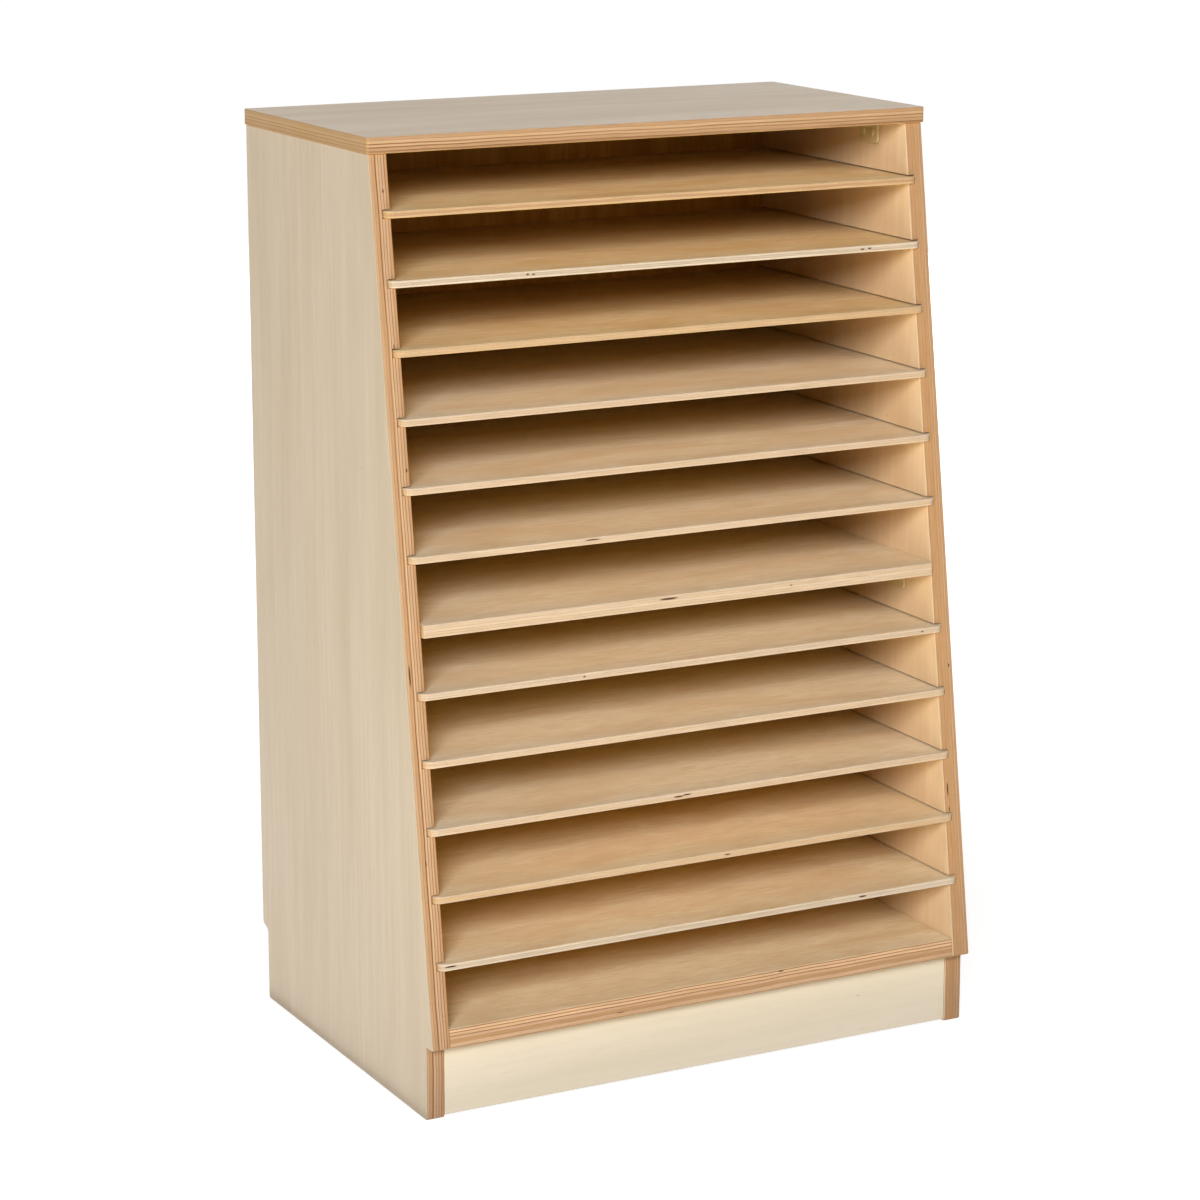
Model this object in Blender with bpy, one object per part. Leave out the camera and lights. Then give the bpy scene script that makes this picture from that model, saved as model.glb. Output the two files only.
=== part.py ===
"""Puzzle storage rack: a plywood carcass with thin shelves in open-fronted grooves.

Metres, +Z up, the front faces -Y. The origin is on the floor under the middle of the rack.
"""
import math

import bmesh
import bpy
from mathutils import Vector

# Overall sizes
RACK_WIDTH = 0.580  # over the outer faces of the side panels
RACK_DEPTH = 0.400  # from the back edge to the nose above the toe kick
RACK_HEIGHT = 0.890
TOP_DEPTH = 0.284  # depth of the side panels where they meet the top
GAP = 0.0003  # between pieces that touch

# Side panels
SIDE_T = 0.018
PLINTH_H = 0.071  # floor to the nose
LEG_SETBACK = 0.014
NOTCH_DEPTH = 0.012  # skirting notch at the rear foot
NOTCH_H = 0.076
NOTCH_FALL = 0.004
NOTCH_R = 0.005
NOSE_R = 0.002
CORNER_R = 0.003
ARRIS = 0.0008

# Panels between and on the sides
TOP_T = 0.015
TOP_SIDE_OVERHANG = 0.002
TOP_FRONT_OVERHANG = 0.003
BOTTOM_T = 0.018
BOTTOM_SETBACK = 0.001
KICK_T = 0.012
KICK_SETBACK = 0.001  # behind the front of the feet
KICK_LIFT = 0.0025
BACK_T = 0.006
BACK_INSET = 0.0065
BACK_FOOT = 0.004  # back panel ends this far above the skirting notch

# Shelves, counted upwards from the bottom panel
SHELF_COUNT = 12
FIXED_SHELF = 6  # this one is thicker and screwed in place
SHELF_T = 0.0065
FIXED_T = 0.012
TOP_SPACE = 0.0505  # between the highest shelf and the top
SHELF_PROUD = 0.005
SHELF_CORNER_R = 0.008
FIXED_CORNER_R = 0.003
GROOVE_DEPTH = 0.008
GROOVE_PLAY = 0.0012  # above a loose shelf, so that it slides by hand
END_PLAY = 0.0005  # between a shelf end and the bottom of its groove

# Plastic corner connectors
CONNECTOR_L = 0.034
CONNECTOR_LEG = 0.024
CONNECTOR_T = 0.003
CONNECTOR_R = 0.005  # free corners of both legs
CONNECTOR_ROOT_R = 0.002  # inside the angle
CONNECTOR_FRONT = 0.044  # behind the front edge
CONNECTOR_REAR = 0.036  # ahead of the back panel
SCREW_R = 0.0022
SCREW_SPREAD = 0.008

# Derived levels and faces
BACK_Y = RACK_DEPTH / 2
NOSE_Y = -RACK_DEPTH / 2
LEG_Y = NOSE_Y + LEG_SETBACK
SIDE_TOP = RACK_HEIGHT - TOP_T - GAP
INNER_HALF = RACK_WIDTH / 2 - SIDE_T
BOTTOM_TOP = PLINTH_H + BOTTOM_T
PITCH = (RACK_HEIGHT - TOP_T - TOP_SPACE - BOTTOM_TOP) / SHELF_COUNT
BACK_FACE = BACK_Y - BACK_INSET - BACK_T
BACK_BOTTOM = NOTCH_H + BACK_FOOT

SIDE_PLY = ("D9C9AC", 0.55)
TOP_PLY = ("D3C7B4", 0.5)
EDGE_PLY = ("CDA878", 0.55)
BACK_PLY = ("C9A673", 0.6)
KICK_PLY = ("E3D6BC", 0.5)
SHELF_PLY = ("D9B98A", 0.5)
PLASTIC = ("E9DDBE", 0.35)


def front_y(z):
    """The leaning front edge of the side panels at height z."""
    along = (z - PLINTH_H) / (SIDE_TOP - PLINTH_H)
    return NOSE_Y + along * (RACK_DEPTH - TOP_DEPTH)


def finish(name, look):
    """A Principled material from a written sRGB colour and a roughness."""
    code, roughness = look
    mat = bpy.data.materials.new(name + "_finish")
    mat.use_nodes = True
    shader = mat.node_tree.nodes["Principled BSDF"]
    channels = []
    for i in (0, 2, 4):
        c = int(code[i:i + 2], 16) / 255
        channels.append(c / 12.92 if c <= 0.04045 else ((c + 0.055) / 1.055) ** 2.4)
    shader.inputs["Base Color"].default_value = (*channels, 1)
    shader.inputs["Roughness"].default_value = roughness
    shader.inputs["Metallic"].default_value = 0
    return mat


def fillet(corners, steps=4):
    """A closed outline from (u, v, radius) corners, each radius turned into an arc."""
    outline = []
    for i, (u, v, radius) in enumerate(corners):
        tip = Vector((u, v))
        if not radius:
            outline.append(tip)
            continue
        before = (Vector(corners[i - 1][:2]) - tip).normalized()
        after = (Vector(corners[(i + 1) % len(corners)][:2]) - tip).normalized()
        half = before.angle(after) / 2
        centre = tip + (before + after).normalized() * radius / math.sin(half)
        arm = tip + before * radius / math.tan(half) - centre
        turn = math.pi - 2 * half
        if before.x * after.y - before.y * after.x > 0:
            turn = -turn
        for k in range(steps + 1):
            c, s = math.cos(turn * k / steps), math.sin(turn * k / steps)
            outline.append(centre + Vector((arm.x * c - arm.y * s, arm.x * s + arm.y * c)))
    return outline


def extrude(outline, low, high, along):
    """A mesh from an outline: (y, z) pushed along X, (x, z) along Y or (x, y) along Z."""
    def at(p, w):
        return {"X": (w, p[0], p[1]), "Y": (p[0], w, p[1]), "Z": (p[0], p[1], w)}[along]

    bm = bmesh.new()
    first = [bm.verts.new(at(p, low)) for p in outline]
    last = [bm.verts.new(at(p, high)) for p in outline]
    bm.faces.new(first)
    bm.faces.new(last)
    for i in range(len(outline)):
        j = (i + 1) % len(outline)
        bm.faces.new((first[i], first[j], last[j], last[i]))
    bmesh.ops.recalc_face_normals(bm, faces=bm.faces)
    mesh = bpy.data.meshes.new("outline")
    bm.to_mesh(mesh)
    bm.free()
    return mesh


def piece(name, mesh, location, look, arris=ARRIS):
    """One named object of the rack, its sharp edges eased."""
    obj = bpy.data.objects.new(name, mesh)
    mesh.name = name
    obj.location = location
    obj.parent = rack
    mesh.materials.append(finish(name, look))
    bpy.context.collection.objects.link(obj)
    if arris:
        ease = obj.modifiers.new("eased edges", "BEVEL")
        ease.width = arris
        ease.segments = 2
        ease.limit_method = "ANGLE"
        ease.angle_limit = math.radians(35)
    return obj


def cut(obj, name, mesh):
    """Takes a cutter mesh, written in the object's own coordinates, out of it."""
    cutter = bpy.data.objects.new(name, mesh)
    mesh.name = name
    cutter.parent = obj
    cutter.display_type = "WIRE"
    cutter.hide_render = True
    bpy.context.collection.objects.link(cutter)
    hole = obj.modifiers.new(name, "BOOLEAN")
    hole.operation = "DIFFERENCE"
    hole.solver = "EXACT"
    hole.object = cutter


def boxes(spans):
    """One mesh of separate boxes, each given as its low and high corner."""
    bm = bmesh.new()
    for low, high in spans:
        made = bmesh.ops.create_cube(bm, size=1)["verts"]
        for v in made:
            v.co = [low[i] if v.co[i] < 0 else high[i] for i in range(3)]
    mesh = bpy.data.meshes.new("boxes")
    bm.to_mesh(mesh)
    bm.free()
    return mesh


def rectangle(half_x, front, back, front_r=0, back_r=0):
    return fillet([
        (-half_x, front, front_r),
        (half_x, front, front_r),
        (half_x, back, back_r),
        (-half_x, back, back_r),
    ])


def shelf_levels():
    """Top surface of every shelf, upwards."""
    return [BOTTOM_TOP + PITCH * (i + 1) for i in range(SHELF_COUNT)]


def side_panel(name, hand):
    """hand is -1 for the left panel and 1 for the right one; grooves face the middle."""
    outline = fillet([
        (BACK_Y, SIDE_TOP, 0),
        (NOSE_Y + RACK_DEPTH - TOP_DEPTH, SIDE_TOP, 0),
        (NOSE_Y, PLINTH_H, NOSE_R),
        (LEG_Y, PLINTH_H, 0),
        (LEG_Y, 0, CORNER_R),
        (BACK_Y - NOTCH_DEPTH, 0, CORNER_R),
        (BACK_Y - NOTCH_DEPTH, NOTCH_H - NOTCH_FALL, NOTCH_R),
        (BACK_Y, NOTCH_H, CORNER_R),
    ])
    mesh = extrude(outline, -SIDE_T / 2, SIDE_T / 2, "X")
    centre_x = hand * (RACK_WIDTH - SIDE_T) / 2
    panel = piece(name, mesh, (centre_x, 0, 0), SIDE_PLY)
    across = sorted((-hand * (SIDE_T / 2 - GROOVE_DEPTH), -hand * SIDE_T))
    back_groove = boxes([(
        (across[0], BACK_FACE - GAP, BACK_BOTTOM - GAP),
        (across[1], BACK_FACE + BACK_T + GAP, RACK_HEIGHT),
    )])
    cut(panel, name + "_back_groove", back_groove)
    shelf_grooves = boxes([
        (
            (across[0], NOSE_Y - SIDE_T, top - SHELF_T - GAP),
            (across[1], BACK_FACE + BACK_T / 2, top + GROOVE_PLAY),
        )
        for i, top in enumerate(shelf_levels())
        if i + 1 != FIXED_SHELF
    ])
    cut(panel, name + "_shelf_grooves", shelf_grooves)
    return panel


def shelf(name, top, thickness, half_x, corner):
    """A shelf whose origin is the middle of its rear lower edge."""
    rear = BACK_FACE - GAP
    front = front_y(top - thickness / 2) - SHELF_PROUD
    outline = rectangle(half_x, front - rear, 0, corner)
    mesh = extrude(outline, 0, thickness, "Z")
    return piece(name, mesh, (0, rear, top - thickness), SHELF_PLY)


def connector_mesh():
    """A moulded angle for the right-hand corner: its back is at x 0 and its top at z 0."""
    half = CONNECTOR_L / 2
    outline = fillet([
        (0, 0, 0),
        (-CONNECTOR_LEG, 0, 0),
        (-CONNECTOR_LEG, -CONNECTOR_T, 0),
        (-CONNECTOR_T, -CONNECTOR_T, CONNECTOR_ROOT_R),
        (-CONNECTOR_T, -CONNECTOR_LEG, 0),
        (0, -CONNECTOR_LEG, 0),
    ])
    mesh = extrude(outline, -half, half, "Y")
    bm = bmesh.new()
    bm.from_mesh(mesh)

    def free_corner(edge):
        p, q = (v.co for v in edge.verts)
        low = max(p.z, q.z) < GAP - CONNECTOR_LEG and abs(p.x - q.x) > GAP
        far = max(p.x, q.x) < GAP - CONNECTOR_LEG and abs(p.z - q.z) > GAP
        return low or far

    corners = [e for e in bm.edges if free_corner(e)]
    bmesh.ops.bevel(
        bm, geom=corners, offset=CONNECTOR_R, offset_type="OFFSET", segments=5, profile=0.5,
        affect="EDGES",
    )
    bm.to_mesh(mesh)
    bm.free()
    angle = piece("connector_pattern", mesh, (0, 0, 0), PLASTIC)
    middle = (CONNECTOR_LEG + CONNECTOR_T) / 2
    bm = bmesh.new()

    def hole(turn, at):
        ring = bmesh.ops.create_cone(
            bm, cap_ends=True, segments=16, radius1=SCREW_R, radius2=SCREW_R, depth=4 * CONNECTOR_T
        )["verts"]
        for v in ring:
            if turn == "X":
                v.co = Vector((v.co.z, v.co.x, v.co.y)) + Vector(at)
            else:
                v.co += Vector(at)

    hole("X", (-CONNECTOR_T / 2, SCREW_SPREAD, -middle))
    hole("X", (-CONNECTOR_T / 2, -SCREW_SPREAD, -middle))
    hole("Z", (-middle, 0, -CONNECTOR_T / 2))
    holes = bpy.data.meshes.new("screw_holes")
    bm.to_mesh(holes)
    bm.free()
    cut(angle, "connector_screw_holes", holes)
    bpy.context.view_layer.update()
    shape = bpy.data.meshes.new_from_object(
        angle.evaluated_get(bpy.context.evaluated_depsgraph_get())
    )
    for used in (*angle.children, angle):
        bpy.data.objects.remove(used)
    return shape


def connectors(level, pattern, under):
    """Four moulded angles in the corners below a panel whose underside is at height under."""
    spots = {
        "front": front_y(under) + CONNECTOR_FRONT + CONNECTOR_L / 2,
        "rear": BACK_FACE - CONNECTOR_REAR - CONNECTOR_L / 2,
    }
    for side, hand in (("left", -1), ("right", 1)):
        for end, y in spots.items():
            mesh = pattern.copy()
            mesh.materials.clear()
            name = f"{level}_connector_{side}_{end}"
            angle = piece(name, mesh, (hand * (INNER_HALF - GAP), y, under - GAP), PLASTIC, 0)
            angle.rotation_euler.z = 0 if hand == 1 else math.pi


for old in list(bpy.data.objects):
    bpy.data.objects.remove(old)

rack = bpy.data.objects.new("rack", None)
bpy.context.collection.objects.link(rack)

side_panel("left_side_panel", -1)
side_panel("right_side_panel", 1)

top_outline = rectangle(
    RACK_WIDTH / 2 + TOP_SIDE_OVERHANG,
    NOSE_Y + RACK_DEPTH - TOP_DEPTH - TOP_FRONT_OVERHANG,
    BACK_Y,
    CORNER_R,
    CORNER_R,
)
piece("top_panel", extrude(top_outline, -TOP_T, 0, "Z"), (0, 0, RACK_HEIGHT), TOP_PLY)

between = INNER_HALF - GAP
bottom_outline = [
    (front_y(PLINTH_H) + BOTTOM_SETBACK, 0),
    (BACK_FACE - GAP, 0),
    (BACK_FACE - GAP, BOTTOM_T),
    (front_y(BOTTOM_TOP) + BOTTOM_SETBACK, BOTTOM_T),
]
bottom_mesh = extrude(bottom_outline, -between, between, "X")
piece("bottom_panel", bottom_mesh, (0, 0, PLINTH_H), EDGE_PLY)

kick_mesh = boxes([((-between, 0, 0), (between, KICK_T, PLINTH_H - GAP - KICK_LIFT))])
piece("kick_board", kick_mesh, (0, LEG_Y + KICK_SETBACK, KICK_LIFT), KICK_PLY)

in_grooves = INNER_HALF + GROOVE_DEPTH - END_PLAY
back_mesh = boxes([((-in_grooves, 0, 0), (in_grooves, BACK_T, SIDE_TOP - BACK_BOTTOM))])
piece("back_panel", back_mesh, (0, BACK_FACE, BACK_BOTTOM), BACK_PLY)

for i, level in enumerate(shelf_levels()):
    number = i + 1
    if number < FIXED_SHELF:
        shelf(f"lower_shelf_{FIXED_SHELF - number}", level, SHELF_T, in_grooves, SHELF_CORNER_R)
    elif number > FIXED_SHELF:
        upper = SHELF_COUNT - number + 1
        shelf(f"upper_shelf_{upper}", level, SHELF_T, in_grooves, SHELF_CORNER_R)
    else:
        shelf("fixed_shelf", level, FIXED_T, between, FIXED_CORNER_R)

pattern = connector_mesh()
connectors("top", pattern, RACK_HEIGHT - TOP_T)
connectors("mid", pattern, shelf_levels()[FIXED_SHELF - 1] - FIXED_T)
connectors("base", pattern, PLINTH_H)
bpy.data.meshes.remove(pattern)
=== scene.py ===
# %% [markdown]
# Puzzle storage rack: dressing the solids
# The rack is a plywood carcass with a leaning front. Twelve shelves lie between its sides, each for
# one child's puzzle tray. The solids come from the CAD part, so nothing here moves or resizes a
# board. What this file adds is what the solids lack: veneer, plywood edges, moulded plastic, the
# screws in the corner angles, studio light and a camera.

import math

import bpy
from mathutils import Matrix, Vector


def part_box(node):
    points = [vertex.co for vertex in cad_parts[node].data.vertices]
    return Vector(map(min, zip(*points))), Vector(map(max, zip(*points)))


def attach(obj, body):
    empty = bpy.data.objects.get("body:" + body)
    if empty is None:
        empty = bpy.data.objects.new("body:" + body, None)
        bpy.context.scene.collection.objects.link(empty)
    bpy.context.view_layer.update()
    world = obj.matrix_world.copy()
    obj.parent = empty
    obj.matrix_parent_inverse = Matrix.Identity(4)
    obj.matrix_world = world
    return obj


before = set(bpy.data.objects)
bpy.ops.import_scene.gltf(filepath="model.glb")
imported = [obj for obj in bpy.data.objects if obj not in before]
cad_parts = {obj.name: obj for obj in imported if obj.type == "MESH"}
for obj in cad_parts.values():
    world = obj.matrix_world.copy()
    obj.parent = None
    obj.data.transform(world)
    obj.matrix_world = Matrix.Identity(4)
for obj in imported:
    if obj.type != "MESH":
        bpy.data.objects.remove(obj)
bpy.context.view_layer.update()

# %% [markdown]
# Three helpers for every finish
# Colours are written as the sRGB codes a colour picker shows. Blender's shaders want linear light,
# so one function turns one into the other.
# A node tree can be wired by hand in the editor. In a script it is easier to read if one call adds
# a node, sets its options and fills its sockets. A socket takes either a plain value or the output
# of an earlier node. A new material comes with two nodes, so it is emptied before it is wired.

# %% Colour, node and material helpers
def linear(code):
    """sRGB hex code to linear red, green, blue and alpha."""
    channels = []
    for i in (0, 2, 4):
        c = int(code[i:i + 2], 16) / 255
        channels.append(c / 12.92 if c <= 0.04045 else ((c + 0.055) / 1.055) ** 2.4)
    return (*channels, 1)


def add(tree, kind, sockets=None, **options):
    """Adds one node to a tree, with its options set and its sockets filled or linked."""
    made = tree.nodes.new(kind)
    for option, value in options.items():
        setattr(made, option, value)
    for key, value in (sockets or {}).items():
        if isinstance(value, bpy.types.NodeSocket):
            tree.links.new(value, made.inputs[key])
        else:
            made.inputs[key].default_value = value
    return made


def empty_material(name):
    """A new material without nodes, and its tree."""
    material = bpy.data.materials.new(name)
    material.use_nodes = True
    material.node_tree.nodes.clear()
    return material, material.node_tree


print("mid grey in linear light:", round(linear("808080")[0], 3))

# %% [markdown]
# The camera
# The picture was taken from the left of the front and a little above the top, with a long lens.
# A short lens close by would show the same sides, but the rack would seem to shrink towards the
# floor. A long lens far away keeps its upright lines nearly parallel. The small downward shift
# centres the rack in the square frame without tilting the camera further.

# %% Camera
LENS_MM = 108
SENSOR_MM = 36
FRAME_SHIFT = -0.04
CAMERA_PLACE = (-1.5902, -3.0007, 1.2394)
CAMERA_TILT = 77.17
CAMERA_TURN = -27.72

camera = bpy.data.objects.new("camera", bpy.data.cameras.new("camera"))
bpy.context.scene.collection.objects.link(camera)
camera.data.lens = LENS_MM
camera.data.sensor_width = SENSOR_MM
camera.data.shift_y = FRAME_SHIFT
camera.location = CAMERA_PLACE
camera.rotation_euler = (math.radians(CAMERA_TILT), 0, math.radians(CAMERA_TURN))
bpy.context.scene.camera = camera
print("camera stands", round(camera.location.length, 2), "m from the origin")

# %% [markdown]
# Veneer tones
# Plywood is peeled birch glued in crossing layers. The outer faces of this rack are a bleached,
# almost white birch. The shelves come from warmer sheets: golden at the top, tawny at the foot and
# paler between. The faces that lie under a board and the inner face of the back are drawn as a
# deep gold that the wood doesn't have: painted shade. The light that these throw on turns the
# shade between the shelves golden.
# A scanned sheet could give the colours, but it would bring its own light and shade along. So each
# veneer gets three written tones: the pale early wood, the usual tone, and the darker late wood.

# %% Veneers
VENEERS = {
    "bleached": ("C4B39C", "BEAD95", "B5A48A"),
    "kick": ("D4C8B4", "D1C5B1", "C9BFA6"),
    # Painted light: the top face is drawn paler than the sides to make up for the weak light that
    # falls on a level face
    "top": ("E4CEB3", "DFC9AC", "D5BD9E"),
    "golden": ("E4D5B2", "D7C197", "C2A169"),
    "warm": ("E5DCC7", "D9CCB3", "CAAF89"),
    "tawny": ("E9DBBD", "DDCBAA", "CEAE82"),
    # Painted shade: a deep gold for the faces under the boards, which lie in the shade
    "underside": ("F8C96A", "EFBE5D", "D8A446"),
    "inside": ("E0C6A3", "DBC19B", "D1B289"),
    # Painted shade: the back's inner face, always in the shade, drawn deeper and more golden
    "back inside": ("D2A752", "C59A42", "A4772A"),
    "back outside": ("C9A06C", "BE935E", "A37746"),
}
for sheet, tones in VENEERS.items():
    print(sheet, [tuple(round(c, 2) for c in linear(tone)[:3]) for tone in tones])

# %% [markdown]
# Layers in the edges
# A cut edge shows every layer of the board. Layers that run with the edge look pale and silky.
# Layers that end at the edge show their pores, drink more lacquer and look brown. Between them lie
# thin dark lines of glue. The layers could be modelled as thin boards of their own, but sanding
# makes them one flat surface, so bands of colour are enough. Each list gives them in millimetres
# from the low face to the high one, so they keep their real widths on every edge of the board.

# %% Plywood layers
TONES = {
    "skin": "B49E87",
    "cream": "B29573",
    "blush": "AC8D6F",
    "tan": "A6805B",
    "amber": "A77E55",
    "brown": "885C37",
    "glue": "684226",
    "peach": "B99878",
    "gleam": "CAA783",
    "straw": "B69671",
    "chalk": "BDAF9E",
    "ash": "B09F8B",
    "oat": "BBA58F",
    "wheat": "B59D82",
    "dun": "A08668",
    "honey": "B1906D",
    "maize": "A27F5D",
    "toffee": "906C4C",
    "umber": "77512F",
}
LEFT_SIDE = [
    (1.0, "dun"), (2.0, "blush"), (0.3, "brown"), (2.7, "tan"), (0.9, "glue"), (0.7, "tan"),
    (1.5, "peach"), (0.7, "brown"), (2.2, "blush"), (0.7, "brown"), (2.0, "blush"), (0.9, "brown"),
    (2.4, "tan"),
]
RIGHT_SIDE = [
    (1.2, "blush"), (0.4, "brown"), (4.0, "tan"), (0.3, "brown"), (3.0, "amber"), (0.3, "brown"),
    (3.6, "tan"), (0.4, "brown"), (1.8, "blush"), (0.4, "brown"), (2.6, "tan"),
]
TOP = [
    (1.6, "toffee"), (0.9, "umber"), (2.4, "maize"), (1.0, "umber"), (1.9, "honey"), (1.0, "umber"),
    (2.5, "honey"), (0.5, "toffee"), (3.2, "maize"),
]
BOTTOM = [
    (0.8, "cream"), (0.5, "brown"), (3.2, "peach"), (4.0, "tan"), (2.2, "peach"), (0.9, "brown"),
    (2.2, "gleam"), (0.8, "brown"), (2.0, "gleam"), (0.7, "brown"), (0.7, "cream"),
]
BACK = [(1.8, "tan"), (0.4, "brown"), (1.6, "amber"), (0.4, "brown"), (1.8, "tan")]
KICK = [
    (1.4, "skin"), (0.5, "brown"), (2.2, "cream"), (0.6, "brown"), (2.4, "tan"), (0.6, "brown"),
    (2.2, "cream"), (0.5, "brown"), (1.4, "skin"),
]
FIXED_SHELF = [
    (2.0, "oat"), (0.5, "dun"), (2.2, "wheat"), (0.4, "dun"), (2.4, "oat"), (0.4, "dun"),
    (2.0, "wheat"), (0.5, "dun"), (1.6, "oat"),
]
print("left side adds up to", round(sum(mm for mm, tone in LEFT_SIDE), 1), "mm of layers")

# %% [markdown]
# A board and its patterns
# A pattern could be painted on an image and wrapped round the board. Here it lives on Object
# coordinates, which are metres in the part's own frame. So a millimetre in the lists is a
# millimetre on the board, and the pattern travels with a shelf that slides.
# Three axes matter on a board: along the grain, across it, and through its thickness. Every wood
# pattern is noise that is stretched along them to sizes in millimetres.

# %% Board axes and wood patterns
AXES = "XYZ"
MM_PER_M = 1000


def measure_board(tree, node, thick, grain):
    """The axes of a board, its two face levels, and where its points lie and face."""
    low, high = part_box(node)
    through, along = AXES.index(thick), AXES.index(grain)
    where = add(tree, "ShaderNodeTexCoord").outputs
    return {
        "along": along,
        "across": ({0, 1, 2} - {through, along}).pop(),
        "through": through,
        "low": low[through],
        "high": high[through],
        "place": where["Object"],
        "spot": add(tree, "ShaderNodeSeparateXYZ", {"Vector": where["Object"]}).outputs,
        "facing": add(tree, "ShaderNodeSeparateXYZ", {"Vector": where["Normal"]}).outputs,
    }


def wood_pattern(tree, board, sizes, detail, sway=0):
    """Noise with sizes in millimetres along, across and through a board."""
    scale = Vector()
    for axis, size in zip(("along", "across", "through"), sizes):
        scale[board[axis]] = MM_PER_M / size
    laid = add(tree, "ShaderNodeMapping", {"Vector": board["place"], "Scale": scale})
    return add(tree, "ShaderNodeTexNoise", {
        "Vector": laid.outputs["Vector"], "Scale": 1, "Detail": detail, "Distortion": sway,
    }).outputs["Fac"]


print("patterns are laid along", ", ".join(AXES), "and a metre holds", MM_PER_M, "mm")

# %% [markdown]
# Veneer on the faces
# Birch veneer is peeled off the log like paper off a roll. A straight log gives a quiet figure, of
# long soft streaks with fine short fibres in them. A crooked one gives a wild figure, which is
# shorter and sways. Blender's wave texture could draw such streaks, but they would run too evenly,
# so stretched noise is used. Each row holds millimetres along the grain and across it, then the
# noise's detail and its sway. Real fibres are about 0.3 mm wide. Less than a pixel would show of
# them, so they are drawn about four times as coarse.
# A share says from which level a noise counts, where it is full, and how far it tints the wood.
# The two faces of a board may be different sheets, and the surface normal says which one shows.

# %% Veneer function
GRAIN = {
    "quiet": {
        "cloud": (340, 42, 3, 0.3),
        "figure": (170, 7.0, 4, 0.5),
        "fibre": (24, 1.3, 2, 0.3),
    },
    "wild": {
        "cloud": (130, 55, 2, 0.6),
        "figure": (48, 8.0, 4, 1.6),
        "fibre": (13, 1.4, 2, 0.8),
    },
}
GRAIN_THROUGH = 17
SHARES = {"cloud": (0.42, 0.72, 0.55), "figure": (0.36, 0.66, 1), "fibre": (0.54, 0.74, 0.55)}
SIDE_FADE = 0.1


def veneer(tree, board, faces, figure):
    """Colour of a board's low and high face, and the noises for its relief and sheen."""
    noises, shares = {}, {}
    for pattern, (along, across, detail, sway) in GRAIN[figure].items():
        noises[pattern] = wood_pattern(tree, board, (along, across, GRAIN_THROUGH), detail, sway)
        least, full, most = SHARES[pattern]
        shares[pattern] = add(tree, "ShaderNodeMapRange", {
            "Value": noises[pattern], "From Min": least, "From Max": full, "To Max": most,
        }).outputs["Result"]
    sheets = []
    for sheet in faces:
        pale, usual, late = (linear(tone) for tone in VENEERS[sheet])
        wood = add(tree, "ShaderNodeMix", {
            0: shares["figure"], 6: pale, 7: usual,
        }, data_type="RGBA")
        for pattern in ("cloud", "fibre"):
            wood = add(tree, "ShaderNodeMix", {
                0: shares[pattern], 6: wood.outputs[2], 7: late,
            }, data_type="RGBA")
        sheets.append(wood.outputs[2])
    upper = add(tree, "ShaderNodeMapRange", {
        "Value": board["facing"][board["through"]], "From Min": -SIDE_FADE, "From Max": SIDE_FADE,
    })
    colour = add(tree, "ShaderNodeMix", {
        0: upper.outputs["Result"], 6: sheets[0], 7: sheets[1],
    }, data_type="RGBA").outputs[2]
    return colour, noises


for figure, patterns in GRAIN.items():
    along, across = patterns["figure"][:2]
    print(figure, "streaks are", round(along / across, 1), "times as long as wide")

# %% [markdown]
# Pin flecks
# Birch has small brown flecks, left by an insect in the living tree. Each could be a decal, but
# there are dozens. So a Voronoi pattern divides the sheet into patches and gives each patch one
# point. The patch's random colour sets how far the fleck reaches from that point, so many patches
# show none that can be seen.

# %% Fleck function
FLECK_EVERY = (200, 70)
FLECK_SIZE = 0.016
FLECK_DEPTH = 0.6
FLECK_SHADE = linear("8F6A48")


def flecks(tree, board, colour):
    """A veneer's colour with pin flecks in it."""
    flat = add(tree, "ShaderNodeCombineXYZ", {
        "X": board["spot"][board["along"]], "Y": board["spot"][board["across"]],
    })
    along, across = FLECK_EVERY
    laid = add(tree, "ShaderNodeMapping", {
        "Vector": flat.outputs["Vector"], "Scale": Vector((MM_PER_M / along, MM_PER_M / across, 1)),
    })
    patch = add(tree, "ShaderNodeTexVoronoi", {
        "Vector": laid.outputs["Vector"], "Scale": 1,
    }, voronoi_dimensions="2D")
    chance = add(tree, "ShaderNodeSeparateXYZ", {"Vector": patch.outputs["Color"]})
    reach = add(tree, "ShaderNodeMath", {
        0: chance.outputs["X"], 1: FLECK_SIZE,
    }, operation="MULTIPLY")
    fleck = add(tree, "ShaderNodeMapRange", {
        "Value": patch.outputs["Distance"], "From Min": 0, "From Max": reach.outputs["Value"],
        "To Min": FLECK_DEPTH, "To Max": 0,
    })
    return add(tree, "ShaderNodeMix", {
        0: fleck.outputs["Result"], 6: colour, 7: FLECK_SHADE,
    }, data_type="RGBA").outputs[2]


print("a fleck is at most", round(2 * FLECK_SIZE * FLECK_EVERY[0], 1), "mm long")

# %% [markdown]
# Layers on the edges
# A colour ramp through the thickness holds the layers of a board's list, and its colours run into
# each other only at the glue line. Straight bands would look printed. Peeled veneer isn't flat, so
# the layers wave by about a millimetre. Here and there one layer swells over the others, so long
# stretches take on the tone of the thickest one.

# %% Layer function
GLUE_FADE = 0.12
WAVE = (70, 70, 70)
WAVE_M = 0.0011
SWELL = (260, 260, 4)
SWELL_SHARE = (0.5, 0.72, 0.65)


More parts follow.
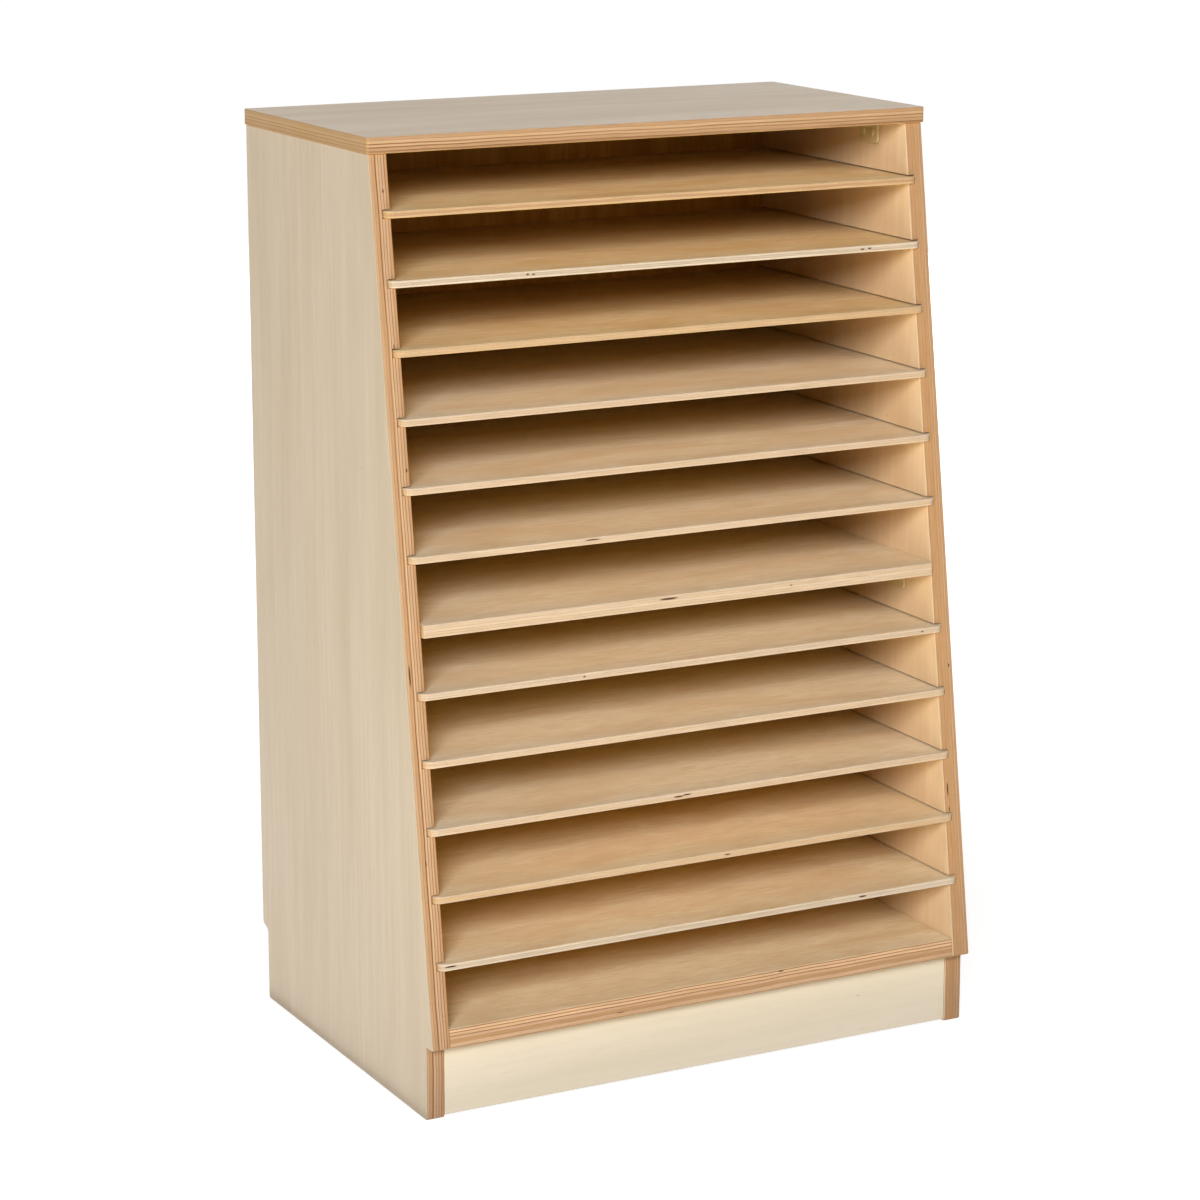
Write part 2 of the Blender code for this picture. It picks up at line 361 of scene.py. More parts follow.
def edge_layers(tree, board, plies):
    """Colour of the layers that a board's edges show."""
    wave = add(tree, "ShaderNodeMapRange", {
        "Value": wood_pattern(tree, board, WAVE, detail=2), "To Min": -WAVE_M, "To Max": WAVE_M,
    })
    waved = add(tree, "ShaderNodeMath", {
        0: board["spot"][board["through"]], 1: wave.outputs["Result"],
    }, operation="ADD")
    level = add(tree, "ShaderNodeMapRange", {
        "Value": waved.outputs["Value"], "From Min": board["low"], "From Max": board["high"],
    })
    ramp = add(tree, "ShaderNodeValToRGB", {"Fac": level.outputs["Result"]})
    bands = ramp.color_ramp.elements
    total = sum(mm for mm, tone in plies)
    reached = 0
    for mm, tone in plies:
        for edge in (reached + GLUE_FADE, reached + mm - GLUE_FADE):
            bands.new(edge / total).color = linear(TONES[tone])
        reached += mm

    # A new ramp starts with a black and a white end, which are not wanted here
    bands.remove(bands[0])
    bands.remove(bands[-1])

    least, full, most = SWELL_SHARE
    swell = add(tree, "ShaderNodeMapRange", {
        "Value": wood_pattern(tree, board, SWELL, detail=1),
        "From Min": least, "From Max": full, "To Max": most,
    })
    thickest = linear(TONES[max(plies)[1]])
    return add(tree, "ShaderNodeMix", {
        0: swell.outputs["Result"], 6: ramp.outputs["Color"], 7: thickest,
    }, data_type="RGBA").outputs[2]


print("layers wave by up to", WAVE_M * MM_PER_M, "mm either way")

# %% [markdown]
# The wood in the edges
# Close up, a layer isn't one flat tone. Silky streaks run with it, and fine pores break them. A
# bump could give both, but soft studio light flattens a relief, so they tint the wood as well. Real
# pores are about 0.1 mm wide, and they are drawn ten times as coarse to show at all.
# Ends that are cut across the grain drink more lacquer, which makes them duller and browner.

# %% Edge wood function
STREAK = (30, 30, 0.7)
STREAK_TONE = (0.86, 1.1)
# Blender's noise seldom leaves this range
NOISE_LOW = 0.3
NOISE_HIGH = 0.7
PORES_MM = 1.0
PORE_FADE = (0.56, 0.74)
PORE_TONE = (1, 0.78)
END_SHADE = linear("B48C4C")
END_SHARE = (0.3, 0.95, 0.5)


def edge_wood(tree, board, layers):
    """Colour of a board's edges, and the streaks for its relief."""
    streaks = wood_pattern(tree, board, STREAK, detail=3)
    silk = add(tree, "ShaderNodeMapRange", {
        "Value": streaks, "From Min": NOISE_LOW, "From Max": NOISE_HIGH,
        "To Min": STREAK_TONE[0], "To Max": STREAK_TONE[1],
    })
    pores = add(tree, "ShaderNodeTexNoise", {
        "Vector": board["place"], "Scale": MM_PER_M / PORES_MM, "Detail": 2,
    })
    dots = add(tree, "ShaderNodeMapRange", {
        "Value": pores.outputs["Fac"], "From Min": PORE_FADE[0], "From Max": PORE_FADE[1],
        "To Min": PORE_TONE[0], "To Max": PORE_TONE[1],
    })
    tone = add(tree, "ShaderNodeMath", {
        0: silk.outputs["Result"], 1: dots.outputs["Result"],
    }, operation="MULTIPLY")
    toned = add(tree, "ShaderNodeMix", {
        0: 1.0, 6: layers, 7: tone.outputs["Value"],
    }, data_type="RGBA", blend_type="MULTIPLY")
    across_grain = add(tree, "ShaderNodeMath", {
        0: board["facing"][board["along"]],
    }, operation="ABSOLUTE")
    least, full, most = END_SHARE
    end = add(tree, "ShaderNodeMapRange", {
        "Value": across_grain.outputs["Value"],
        "From Min": least, "From Max": full, "To Max": most,
    })
    colour = add(tree, "ShaderNodeMix", {
        0: end.outputs["Result"], 6: toned.outputs[2], 7: END_SHADE,
    }, data_type="RGBA").outputs[2]
    return colour, streaks


print("streaks are", STREAK[0], "mm long and", STREAK[2], "mm thick")

# %% [markdown]
# Gaps in the layers
# Where an inner veneer has a hole or two strips don't meet, the edge shows a short slit, dark
# with the shade inside it. It could be cut into the mesh, but it is about 2 mm high at most and
# shows no depth. So it is a flat ellipse of painted shade in the colour, at its own place on the
# edge. Each row gives the axis that the edge runs along, then in millimetres the slit's middle,
# its length, its level above the low face and its height.

# %% Gap function
# Painted shade: the dark inside a gap, drawn as a colour
GAP_PAINTED_SHADE = linear("40220A")
GAP_RIM = (0.7, 1.1)


def edge_gaps(tree, board, colour, gaps):
    """An edge's colour with painted shade where its gaps are."""
    through = board["through"]
    for axis, middle, length, level, height in gaps:
        scale, offset = Vector(), Vector()
        run = AXES.index(axis)
        scale[run], scale[through] = 2 * MM_PER_M / length, 2 * MM_PER_M / height
        offset[run] = -middle / MM_PER_M * scale[run]
        offset[through] = -(board["low"] + level / MM_PER_M) * scale[through]
        laid = add(tree, "ShaderNodeMapping", {
            "Vector": board["place"], "Scale": scale, "Location": offset,
        })
        away = add(tree, "ShaderNodeVectorMath", {0: laid.outputs["Vector"]}, operation="LENGTH")
        hole = add(tree, "ShaderNodeMapRange", {
            "Value": away.outputs["Value"], "From Min": GAP_RIM[0], "From Max": GAP_RIM[1],
            "To Min": 1, "To Max": 0,
        })
        colour = add(tree, "ShaderNodeMix", {
            0: hole.outputs["Result"], 6: colour, 7: GAP_PAINTED_SHADE,
        }, data_type="RGBA").outputs[2]
    return colour


print("gaps fade over", round(GAP_RIM[1] - GAP_RIM[0], 1), "of their half length")

# %% [markdown]
# The plywood finish
# One function puts the material of one board together. Faces and edges could be two materials, but
# a CAD board has one slot and its mesh stays as it is. So the surface normal decides. Where it
# points through the board, the point is on a face and gets veneer. Where it points sideways, the
# point is on an edge and gets the layers. Between the two lies the sanded arris, a little paler.
# The boards are sanded and sprayed with clear matt lacquer. The eye sees a soft, slightly uneven
# sheen, under which the fibres stand up a little.

# %% Plywood function
FACE_FADE = (0.6, 0.85)
ARRIS_SHADE = linear("DCC49F")
ARRIS_MIDDLE = 0.5
ARRIS_REACH = 0.45
ARRIS_SHARE = 0.3
FIBRE_RELIEF = 0.25
FIBRE_HEIGHT = 0.0003
LACQUER_IOR = 1.5
LACQUER_SPECULAR = 0.25
LACQUER_ROUGH = 0.46
ROUGH_SPREAD = (-0.05, 0.07)


def plywood(name, node, thick, grain, faces, plies, gaps=(), rough=LACQUER_ROUGH, figure="quiet"):
    """Lacquered plywood for one board: veneer on its faces and layers on its edges."""
    material, tree = empty_material(name)
    board = measure_board(tree, node, thick, grain)
    face_colour, noises = veneer(tree, board, faces, figure)
    face_colour = flecks(tree, board, face_colour)
    edge_colour, streaks = edge_wood(tree, board, edge_layers(tree, board, plies))
    edge_colour = edge_gaps(tree, board, edge_colour, gaps)

    flat = add(tree, "ShaderNodeMath", {
        0: board["facing"][board["through"]],
    }, operation="ABSOLUTE")
    face = add(tree, "ShaderNodeMapRange", {
        "Value": flat.outputs["Value"], "From Min": FACE_FADE[0], "From Max": FACE_FADE[1],
    }).outputs["Result"]
    wood = add(tree, "ShaderNodeMix", {0: face, 6: edge_colour, 7: face_colour}, data_type="RGBA")
    turning = add(tree, "ShaderNodeMath", {
        0: face, 1: ARRIS_MIDDLE, 2: ARRIS_REACH,
    }, operation="COMPARE")
    worn = add(tree, "ShaderNodeMath", {
        0: turning.outputs["Value"], 1: ARRIS_SHARE,
    }, operation="MULTIPLY")
    colour = add(tree, "ShaderNodeMix", {
        0: worn.outputs["Value"], 6: wood.outputs[2], 7: ARRIS_SHADE,
    }, data_type="RGBA")

    height = add(tree, "ShaderNodeMix", {0: face, 2: streaks, 3: noises["fibre"]})
    relief = add(tree, "ShaderNodeBump", {
        "Height": height.outputs[0], "Strength": FIBRE_RELIEF, "Distance": FIBRE_HEIGHT,
    })
    sheen = add(tree, "ShaderNodeMapRange", {
        "Value": noises["cloud"], "From Min": NOISE_LOW, "From Max": NOISE_HIGH,
        "To Min": rough + ROUGH_SPREAD[0], "To Max": rough + ROUGH_SPREAD[1],
    })
    shader = add(tree, "ShaderNodeBsdfPrincipled", {
        "Base Color": colour.outputs[2], "Roughness": sheen.outputs["Result"], "IOR": LACQUER_IOR,
        "Specular IOR Level": LACQUER_SPECULAR, "Normal": relief.outputs["Normal"],
    })
    add(tree, "ShaderNodeOutputMaterial", {"Surface": shader.outputs["BSDF"]})
    return material


def finish(node, material):
    """Gives a CAD board its material; the board's mesh stays as it is."""
    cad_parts[node].material_slots[0].material = material


print("plywood is ready, with", len(TONES), "tones for its layers")

# %% [markdown]
# The carcass
# Sides, top, bottom, kick board and fixed shelf are cut from birch-faced plywood, sanded and
# sprayed. That gives the eye quiet, silky faces and busy striped edges. The back is plain sanded
# poplar plywood, which is duller. Its faces are drawn darker than the birch, partly as
# the poplar's own tone and partly as painted shade, since the back stands in the shade behind
# the shelves. One material for all boards would be shorter, but their edges differ, so each
# gets its own layers. The gaps are the few dark slits that a close look finds in the edges,
# drawn as painted shade.

# %% Carcass boards
CARCASS = {
    "left_side_panel": {
        "name": "birch_plywood_left_side_sprayed_lacquer", "thick": "X", "grain": "Z",
        "faces": ("bleached", "inside"), "plies": LEFT_SIDE,
        "gaps": [
            ("Z", 412, 21, 4.2, 1.5), ("Z", 842, 4, 12.2, 1.6), ("Z", 595, 4, 15.6, 1.4),
            ("Z", 704, 7, 11.9, 0.9), ("Z", 242, 6, 6.9, 1.0),
        ],
    },
    "right_side_panel": {
        "name": "birch_plywood_right_side_sprayed_lacquer", "thick": "X", "grain": "Z",
        "faces": ("inside", "bleached"), "plies": RIGHT_SIDE,
        "gaps": [("Z", 235, 15, 4.4, 1.5), ("Z", 216, 5, 5.2, 1.2), ("Z", 355, 4, 13.8, 1.6)],
    },
    "top_panel": {
        "name": "birch_plywood_top_sprayed_lacquer", "thick": "Z", "grain": "X",
        "faces": ("underside", "top"), "plies": TOP, "rough": 0.4,
    },
    "bottom_panel": {
        "name": "birch_plywood_bottom_sprayed_lacquer", "thick": "Z", "grain": "X",
        "faces": ("underside", "tawny"), "plies": BOTTOM, "figure": "wild",
        "gaps": [("X", 78, 7, 16.4, 1.0), ("X", -96, 10, 5.0, 0.7)],
    },
    "back_panel": {
        "name": "poplar_plywood_back_plain_sanded", "thick": "Y", "grain": "Z",
        # Both faces darker than the birch: partly the poplar's own tone, partly painted shade
        "faces": ("back inside", "back outside"), "plies": BACK, "rough": 0.56,
    },
    "kick_board": {
        "name": "birch_plywood_kick_sprayed_lacquer", "thick": "Y", "grain": "X",
        "faces": ("kick", "kick"), "plies": KICK,
    },
    "fixed_shelf": {
        "name": "birch_plywood_fixed_shelf_sprayed_lacquer", "thick": "Z", "grain": "X",
        "faces": ("underside", "warm"), "plies": FIXED_SHELF, "figure": "wild",
        "gaps": [("X", -20, 21, 9.0, 2.0), ("X", 112, 3.5, 7.5, 1.2)],
    },
}
for node, looks in CARCASS.items():
    finish(node, plywood(node=node, **looks))
print("carcass boards finished:", len(CARCASS))

# %% [markdown]
# The thin shelves
# Each loose shelf is 6.5 mm plywood of three layers, so its edge shows only two faint lines. They
# were not cut from one sheet: the edge of the highest is golden, two are nearly white, and the rest
# lie between. They could share one material, but then all eleven edges would look alike. Each row
# gives a shelf its upper veneer, the tones of its outer layers and its core, and the slits seen in
# its front edge.

# %% Thin shelves
OUTER_MM = 1.9
GLUE_MM = 0.45
CORE_MM = 1.8
SHELVES = {
    "upper_shelf_1": ("golden", "straw", "tan", []),
    "upper_shelf_2": ("golden", "chalk", "ash", [
        (-143, 3.5, 3.6, 1.6), (-137, 3.5, 3.4, 1.5), (213, 4.5, 3.2, 1.6), (221, 4.5, 3.6, 1.6),
    ]),
    "upper_shelf_3": ("golden", "cream", "straw", []),
    "upper_shelf_4": ("warm", "oat", "wheat", []),
    "upper_shelf_5": ("warm", "oat", "wheat", []),
    "upper_shelf_6": ("warm", "oat", "wheat", [(-95, 17, 4.5, 1.4)]),
    "lower_shelf_1": ("warm", "oat", "ash", [(-113, 3, 3.4, 1.5), (255, 3.5, 3.2, 1.4)]),
    "lower_shelf_2": ("warm", "oat", "wheat", []),
    "lower_shelf_3": ("warm", "oat", "wheat", [(-23, 11, 3.2, 1.8), (-14, 10, 4.0, 1.6)]),
    "lower_shelf_4": ("tawny", "wheat", "straw", [(25, 7, 3.4, 1.4)]),
    "lower_shelf_5": ("tawny", "chalk", "ash", [(-268, 13, 4.0, 1.8), (170, 9, 3.6, 1.9)]),
}
for node, (sheet, outer, core, slits) in SHELVES.items():
    layers = [
        (OUTER_MM, outer), (GLUE_MM, "dun"), (CORE_MM, core), (GLUE_MM, "dun"), (OUTER_MM, outer),
    ]
    finish(node, plywood(
        "thin_birch_plywood_sprayed_lacquer_" + node, node, "Z", "X", ("underside", sheet), layers,
        [("X", *slit) for slit in slits], figure="wild",
    ))
print("thin shelves finished:", len(SHELVES))

# %% [markdown]
# The corner angles
# The angles under the top, the fixed shelf and the bottom are injection-moulded nylon in cream.
# A spark-eroded mould leaves a fine matt skin, and the melt leaves slightly darker flow marks. To
# the eye that is a soft cream without hard highlights. One flat colour would look like paint, so
# two noises are used: a wide one for the flow and a fine one for the skin. The real skin is about
# 0.1 mm, far below a pixel, so it is drawn at 0.6 mm.

# %% Moulded plastic
NYLON_TONES = (linear("D2C090"), linear("C4B080"))
NYLON_ROUGH = (0.38, 0.5)
NYLON_IOR = 1.53
FLOW_MM = 14
FLOW_SWAY = 1.2
SKIN_MM = 0.6
SKIN_RELIEF = 0.15
SKIN_HEIGHT = 0.0002

nylon, tree = empty_material("nylon_cream_injection_moulded")
place = add(tree, "ShaderNodeTexCoord").outputs["Object"]
flow = add(tree, "ShaderNodeTexNoise", {
    "Vector": place, "Scale": MM_PER_M / FLOW_MM, "Detail": 2, "Distortion": FLOW_SWAY,
})
tint = add(tree, "ShaderNodeMix", {
    0: flow.outputs["Fac"], 6: NYLON_TONES[0], 7: NYLON_TONES[1],
}, data_type="RGBA")
skin = add(tree, "ShaderNodeTexNoise", {"Vector": place, "Scale": MM_PER_M / SKIN_MM, "Detail": 2})
grit = add(tree, "ShaderNodeBump", {
    "Height": skin.outputs["Fac"], "Strength": SKIN_RELIEF, "Distance": SKIN_HEIGHT,
})
matt = add(tree, "ShaderNodeMapRange", {
    "Value": skin.outputs["Fac"], "From Min": NOISE_LOW, "From Max": NOISE_HIGH,
    "To Min": NYLON_ROUGH[0], "To Max": NYLON_ROUGH[1],
})
shader = add(tree, "ShaderNodeBsdfPrincipled", {
    "Base Color": tint.outputs[2], "Roughness": matt.outputs["Result"], "IOR": NYLON_IOR,
    "Normal": grit.outputs["Normal"],
})
add(tree, "ShaderNodeOutputMaterial", {"Surface": shader.outputs["BSDF"]})
angles = [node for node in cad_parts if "_connector_" in node]
for node in angles:
    finish(node, nylon)
print("corner angles finished:", len(angles))

# %% [markdown]
# Screw enamel
# The screws are cold-headed steel, dipped in cream enamel so that they hardly show on the angles.
# They could be bare metal, but bright heads would draw the eye. Enamel draws together as it dries,
# so the eye sees soft patches, a millimetre or two wide, in its tone and its shine.

# %% Enamelled steel
ENAMEL_TONES = (linear("CFBD8D"), linear("BFAB7B"))
ENAMEL_ROUGH = (0.32, 0.46)
ENAMEL_IOR = 1.5
PATCH_MM = 1.5

enamel, tree = empty_material("steel_cold_headed_cream_enamel_dipped")
place = add(tree, "ShaderNodeTexCoord").outputs["Object"]
patch = add(tree, "ShaderNodeTexNoise", {
    "Vector": place, "Scale": MM_PER_M / PATCH_MM, "Detail": 3,
})
coat = add(tree, "ShaderNodeMix", {
    0: patch.outputs["Fac"], 6: ENAMEL_TONES[0], 7: ENAMEL_TONES[1],
}, data_type="RGBA")
dull = add(tree, "ShaderNodeMapRange", {
    "Value": patch.outputs["Fac"], "From Min": NOISE_LOW, "From Max": NOISE_HIGH,
    "To Min": ENAMEL_ROUGH[0], "To Max": ENAMEL_ROUGH[1],
})
shader = add(tree, "ShaderNodeBsdfPrincipled", {
    "Base Color": coat.outputs[2], "Roughness": dull.outputs["Result"], "IOR": ENAMEL_IOR,
})
add(tree, "ShaderNodeOutputMaterial", {"Surface": shader.outputs["BSDF"]})
print("enamel uses", len(tree.nodes), "nodes")

# %% [markdown]
# Picking faces
# In the editor a face is picked with the mouse. In a script it could be picked by its number, but
# numbers change with every step. So one helper selects the faces whose place and direction pass a
# test, and stays in edit mode for the next operator.

# %% Face picker
SQUARE = 0.9
HAIR = 0.00002


def select_faces(test):
    """Selects the faces of the piece in edit mode whose middle and normal pass a test."""
    bpy.ops.object.mode_set(mode="OBJECT")
    mesh = bpy.context.object.data
    for edge in mesh.edges:
        edge.select = False
    for vertex in mesh.vertices:
        vertex.select = False
    for polygon in mesh.polygons:
        polygon.select = test(polygon.center, polygon.normal)
    bpy.ops.object.mode_set(mode="EDIT")
    bpy.ops.mesh.select_mode(type="FACE")


print("a face counts as square within", round(math.degrees(math.acos(SQUARE))), "degrees")

# %% [markdown]
# One screw, modelled by hand
# Every angle is held by three pan-head screws: two into the side panel and one into the board
# above. One screw is modelled, standing on its tip with the underside of its head at height 0.
# It could be spun from an outline, but that leaves a seam and a pole to close. So it starts as the
# shank, a short cylinder. Its top face is extruded in place and widened for the flange, extruded up
# for the head, and its rim is bevelled into the pan shape.

# %% Screw blank
SHANK_R = 0.0019
SHANK_L = 0.0029
SHANK_SIDES = 24
HEAD_R = 0.0035
HEAD_H = 0.0015
HEAD_ROUND = 0.0010
HEAD_STEPS = 4

bpy.ops.object.select_all(action="DESELECT")
bpy.ops.mesh.primitive_cylinder_add(
    vertices=SHANK_SIDES, radius=SHANK_R, depth=SHANK_L, location=(0, 0, -SHANK_L / 2)
)
screw = bpy.context.object
screw.name = "pan_head_screw"
bpy.ops.object.transform_apply(location=True)
bpy.ops.object.mode_set(mode="EDIT")
select_faces(lambda middle, normal: normal.z > SQUARE)
bpy.ops.mesh.extrude_region_move(TRANSFORM_OT_translate={"value": (0, 0, 0)})
wider = HEAD_R / SHANK_R
bpy.ops.transform.resize(value=(wider, wider, 1), center_override=(0, 0, 0))
bpy.ops.mesh.extrude_region_move(TRANSFORM_OT_translate={"value": (0, 0, HEAD_H)})
select_faces(lambda middle, normal: normal.z > SQUARE and middle.z > HEAD_H - HAIR)
bpy.ops.mesh.bevel(offset=HEAD_ROUND, segments=HEAD_STEPS, affect="EDGES")
bpy.ops.mesh.select_all(action="SELECT")
bpy.ops.mesh.normals_make_consistent(inside=False)
bpy.ops.object.mode_set(mode="OBJECT")
print("screw blank has", len(screw.data.polygons), "faces")

# %% [markdown]
# The cross in the head
# A punch presses the cross into the head. It could be inset and pushed down face by face, but the
# round head has no faces that fit a cross. So its tool is modelled: a square post, each of whose
# four sides grows an arm, with a narrower foot. A Boolean modifier then takes it out of the head.

# %% Cross
CROSS_L = 0.0042
CROSS_W = 0.0009
CROSS_DEPTH = 0.0009
CROSS_FOOT = 0.5
SMOOTH_UP_TO = 32

bpy.ops.object.select_all(action="DESELECT")
bpy.ops.mesh.primitive_cube_add(size=1, location=(0, 0, 0))
cross = bpy.context.object
bpy.ops.object.mode_set(mode="EDIT")
bpy.ops.transform.resize(value=(CROSS_W, CROSS_W, CROSS_DEPTH * 2), center_override=(0, 0, 0))
arm = (CROSS_L - CROSS_W) / 2
for way in (Vector((1, 0, 0)), Vector((-1, 0, 0)), Vector((0, 1, 0)), Vector((0, -1, 0))):
    select_faces(
        lambda middle, normal: normal.dot(way) > SQUARE and abs(middle.cross(way).z) < HAIR
    )
    bpy.ops.mesh.extrude_region_move(TRANSFORM_OT_translate={"value": way * arm})
select_faces(lambda middle, normal: normal.z < -SQUARE)
bpy.ops.transform.resize(value=(CROSS_FOOT, CROSS_FOOT, 1), center_override=(0, 0, -CROSS_DEPTH))
bpy.ops.mesh.select_all(action="SELECT")
bpy.ops.transform.translate(value=(0, 0, HEAD_H))
bpy.ops.object.mode_set(mode="OBJECT")

bpy.ops.object.select_all(action="DESELECT")
screw.select_set(True)
bpy.context.view_layer.objects.active = screw
punch = screw.modifiers.new("pressed cross", "BOOLEAN")
punch.operation = "DIFFERENCE"
punch.solver = "EXACT"
punch.object = cross
bpy.ops.object.modifier_apply(modifier=punch.name)
bpy.ops.object.shade_smooth_by_angle(angle=math.radians(SMOOTH_UP_TO))
screw.data.materials.append(enamel)
bpy.data.objects.remove(cross)
length = round(screw.dimensions.z * MM_PER_M, 1)
print("screw has", len(screw.data.polygons), "faces and is", length, "mm long")

# %% [markdown]
# Thirty-six screws
# The pattern screw is copied into every hole. Copies could share one mesh and only be moved, but
# then a pattern on Object coordinates would be the same on all of them. So each copy has its own
# mesh, turned and moved into place there, and the object itself stays at the origin as the CAD
# boards do. No two screws stop at the same angle, so each is turned a bit further about its own
# axis. The three screws of one angle are joined into one piece, which rides on the carcass.

# %% Screws in the angles
ANGLE_T = 0.003
SCREW_DROP = 0.0135
SCREW_SPREAD = 0.008
TURN_STEP = 37
turn_count = 0
for node in angles:
    low, high = (Vector(corner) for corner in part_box(node))
    inward = -1 if low.x > 0 else 1
    back = high.x if low.x > 0 else low.x
    middle = (low.y + high.y) / 2
    sideways = Matrix.Rotation(inward * math.pi / 2, 4, "Y")
    down = Matrix.Rotation(math.pi, 4, "X")
    holes = [
        (Vector((back + inward * ANGLE_T, middle - SCREW_SPREAD, high.z - SCREW_DROP)), sideways),
        (Vector((back + inward * ANGLE_T, middle + SCREW_SPREAD, high.z - SCREW_DROP)), sideways),
        (Vector((back + inward * SCREW_DROP, middle, high.z - ANGLE_T)), down),
    ]
    bpy.ops.object.select_all(action="DESELECT")
    for hole, tilt in holes:
        driven = bpy.data.objects.new(node + "_screws", screw.data.copy())
        spin = Matrix.Rotation(math.radians(TURN_STEP * turn_count), 4, "Z")
        driven.data.transform(Matrix.Translation(hole) @ tilt @ spin)
        bpy.context.scene.collection.objects.link(driven)
        driven.select_set(True)
        bpy.context.view_layer.objects.active = driven
        turn_count += 1
    bpy.ops.object.join()
    joined = bpy.context.object
    joined.name = node + "_screws"
    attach(joined, "carcass")
bpy.data.objects.remove(screw)
print("screws driven:", turn_count)

# %% [markdown]
# Who sees the white ground
# The picture has a plain white ground. A floor that is only bright would need light that also
# burns out the rack. So the floor and the world look white to the camera, to reflections and to
# glass, and stay ordinary to every other ray. A reflection that is met after a bounce off matt
# wood would carry that white back into the shade, so such rays count as ordinary too.

# %% Ray test
HALF_A_BOUNCE = 0.5


def sees_white(tree):
    """1 for a ray that shows the white ground, 0 for a ray that gathers light."""
    ray = add(tree, "ShaderNodeLightPath").outputs
    either = add(tree, "ShaderNodeMath", {
        0: ray["Is Camera Ray"], 1: ray["Is Glossy Ray"],
    }, operation="MAXIMUM")
    any_of = add(tree, "ShaderNodeMath", {
        0: either.outputs["Value"], 1: ray["Is Transmission Ray"],
    }, operation="MAXIMUM")
    first = add(tree, "ShaderNodeMath", {
        0: ray["Diffuse Depth"], 1: HALF_A_BOUNCE,
    }, operation="LESS_THAN")
    return add(tree, "ShaderNodeMath", {
        0: any_of.outputs["Value"], 1: first.outputs["Value"],
    }, operation="MULTIPLY").outputs["Value"]


print("the ground is white to camera, glossy and transmission rays")

# %% [markdown]
# The floor
# The floor is matt white paper, laid as one large disc. To the eye it has no gloss and no edge. A
# plane would do as well, but a disc ends at the same distance on every side. Where it is seen, part
# of its white is its own and part comes from the lamps, so the rack's soft shadow stays on it. Its
# own part grows to full white a step away from the rack.

# %% Floor
FLOOR_R = 24
FLOOR_SIDES = 96
OWN_WHITE = (0.84, 1)
OWN_WHITE_REACH = (0.5, 1.6)
LAMP_SHARE = (0.3, 0.3, 0.3, 1)
PAPER = (0.88, 0.88, 0.88, 1)
WHITE = (1, 1, 1, 1)

bpy.ops.object.select_all(action="DESELECT")
bpy.ops.mesh.primitive_circle_add(
    vertices=FLOOR_SIDES, radius=FLOOR_R, fill_type="NGON", location=(0, 0, 0)
)
floor = bpy.context.object
floor.name = "studio_floor"
paper, tree = empty_material("paper_white_matt_studio_floor")
place = add(tree, "ShaderNodeTexCoord").outputs["Object"]
away = add(tree, "ShaderNodeVectorMath", {0: place}, operation="LENGTH")
own = add(tree, "ShaderNodeMapRange", {
    "Value": away.outputs["Value"], "From Min": OWN_WHITE_REACH[0], "From Max": OWN_WHITE_REACH[1],
    "To Min": OWN_WHITE[0], "To Max": OWN_WHITE[1],
})
lifted = add(tree, "ShaderNodeEmission", {"Color": WHITE, "Strength": own.outputs["Result"]})
shaded = add(tree, "ShaderNodeBsdfDiffuse", {"Color": LAMP_SHARE})
seen = add(tree, "ShaderNodeAddShader", {0: lifted.outputs[0], 1: shaded.outputs[0]})
plain = add(tree, "ShaderNodeBsdfDiffuse", {"Color": PAPER})
both = add(tree, "ShaderNodeMixShader", {
    0: sees_white(tree), 1: plain.outputs[0], 2: seen.outputs[0],
})
add(tree, "ShaderNodeOutputMaterial", {"Surface": both.outputs[0]})
floor.data.materials.append(paper)
print("floor is", 2 * FLOOR_R, "m across")

# %% [markdown]
# The world
# Around the floor the world is white to the same rays. To the others it is a very dim room. A
# brighter one would save a lamp, but it would also fill the depths between the shelves, which are
# dark.

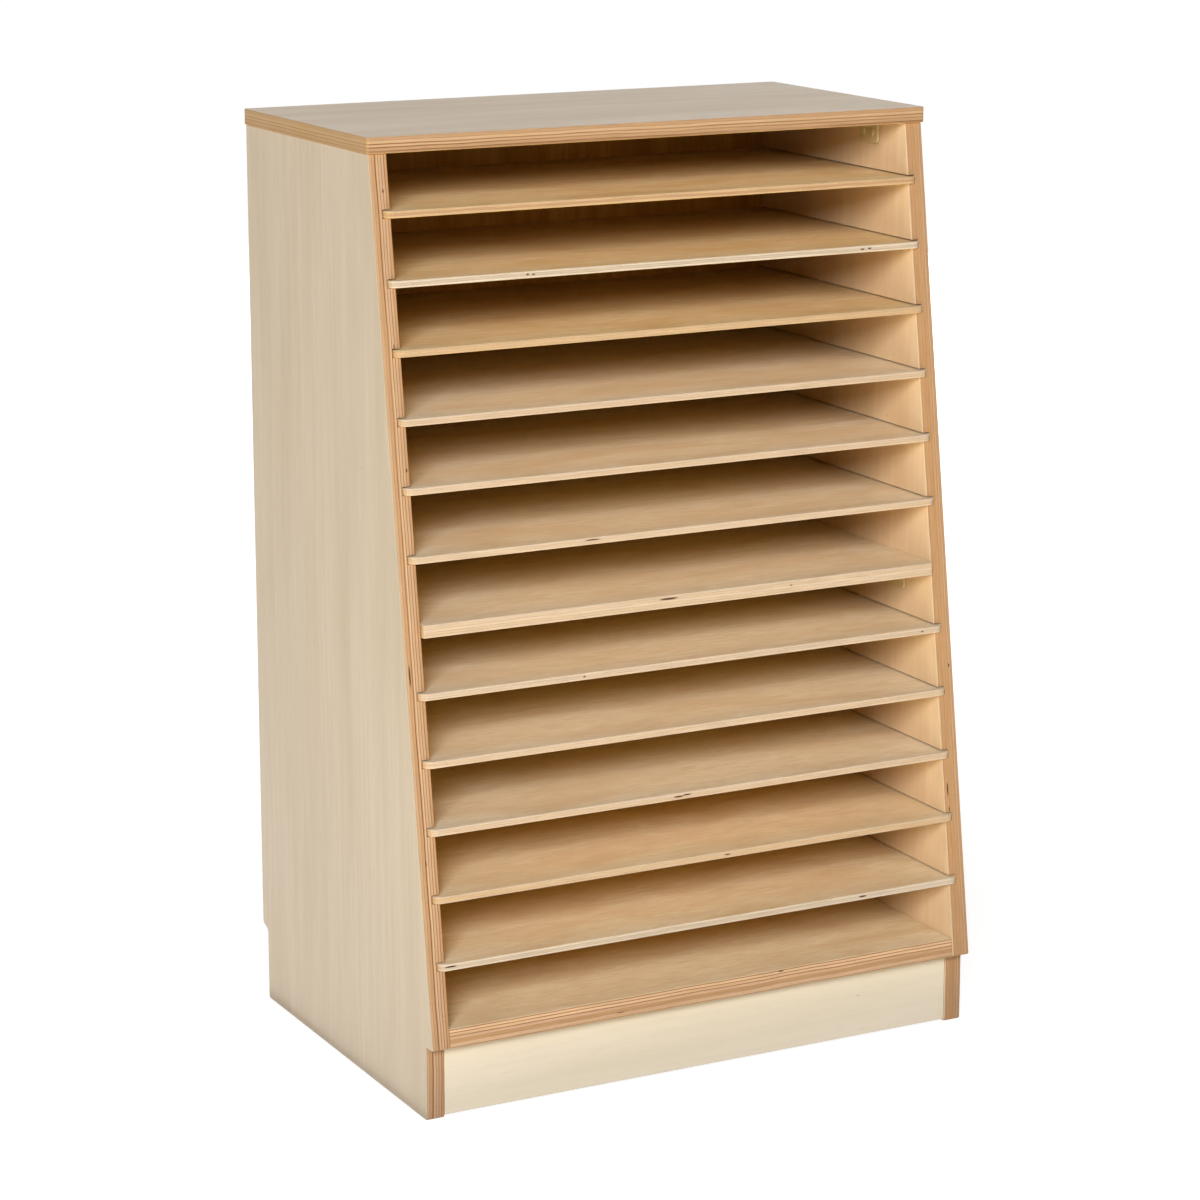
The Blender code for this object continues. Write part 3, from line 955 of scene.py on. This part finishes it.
# %% World
AMBIENT = 0.04
world = bpy.data.worlds.new("white_studio")
bpy.context.scene.world = world
world.use_nodes = True
tree = world.node_tree
tree.nodes.clear()
level = add(tree, "ShaderNodeMapRange", {"Value": sees_white(tree), "To Min": AMBIENT, "To Max": 1})
sky = add(tree, "ShaderNodeBackground", {"Color": WHITE, "Strength": level.outputs["Result"]})
add(tree, "ShaderNodeOutputWorld", {"Surface": sky.outputs[0]})
print("ambient level", AMBIENT)

# %% [markdown]
# Studio light
# The shelves are bright in front and fade to golden brown at the back, and their shadows run to the
# right. So the key light stands in front, 37 degrees round to the left and 23 degrees up. A weaker
# light stands in front on the right, a little higher. It evens out the front edges and leaves the
# backs of the shelves dark.
# Two pale boards lie on the floor and throw light up. The one in front is slightly warm: it lights
# the shelves from below, which is where their golden glow comes from. The one on the left lifts the
# foot of the left side. A light behind keeps the back and the right side readable from other
# angles, and the front can't see it. Each row gives place, aim, width, height, watts and tint.

# %% Lamps
TARGET = (0, 0, 0.45)
LAMPS = {
    "key_softbox": ((-3.45, -4.55, 2.83), TARGET, 1.7, 1.7, 338, "FFFFFF"),
    "front_softbox": ((1.60, -6.10, 3.65), TARGET, 2.4, 1.8, 100, "FFFFFF"),
    "front_floor_board": ((-0.10, -1.60, 0.02), (-0.10, -1.60, 1.00), 3.0, 2.4, 40, "FFF6CF"),
    "left_floor_board": ((-1.58, 0.20, 0.004), (-1.58, 0.20, 1.00), 2.56, 2.0, 13, "FFFFFF"),
    "back_softbox": ((3.20, 4.20, 1.00), TARGET, 2.4, 2.4, 290, "FFFFFF"),
}
MIRRORED_LAMPS = ("key_softbox", "front_softbox")
for name, (location, aim, width, height, watts, tint) in LAMPS.items():
    data = bpy.data.lights.new(name, "AREA")
    data.shape = "RECTANGLE"
    data.size = width
    data.size_y = height
    data.energy = watts
    data.color = linear(tint)[:3]
    lamp = bpy.data.objects.new(name, data)
    lamp.location = location
    lamp.rotation_euler = (Vector(aim) - lamp.location).to_track_quat("-Z", "Y").to_euler()
    lamp.visible_camera = False
    lamp.visible_glossy = name in MIRRORED_LAMPS
    bpy.context.scene.collection.objects.link(lamp)
print("lamps:", ", ".join(LAMPS))

# %% [markdown]
# Last things Standard view keeps the written colours.

# %% Finish
bpy.context.scene.view_settings.view_transform = "Standard"
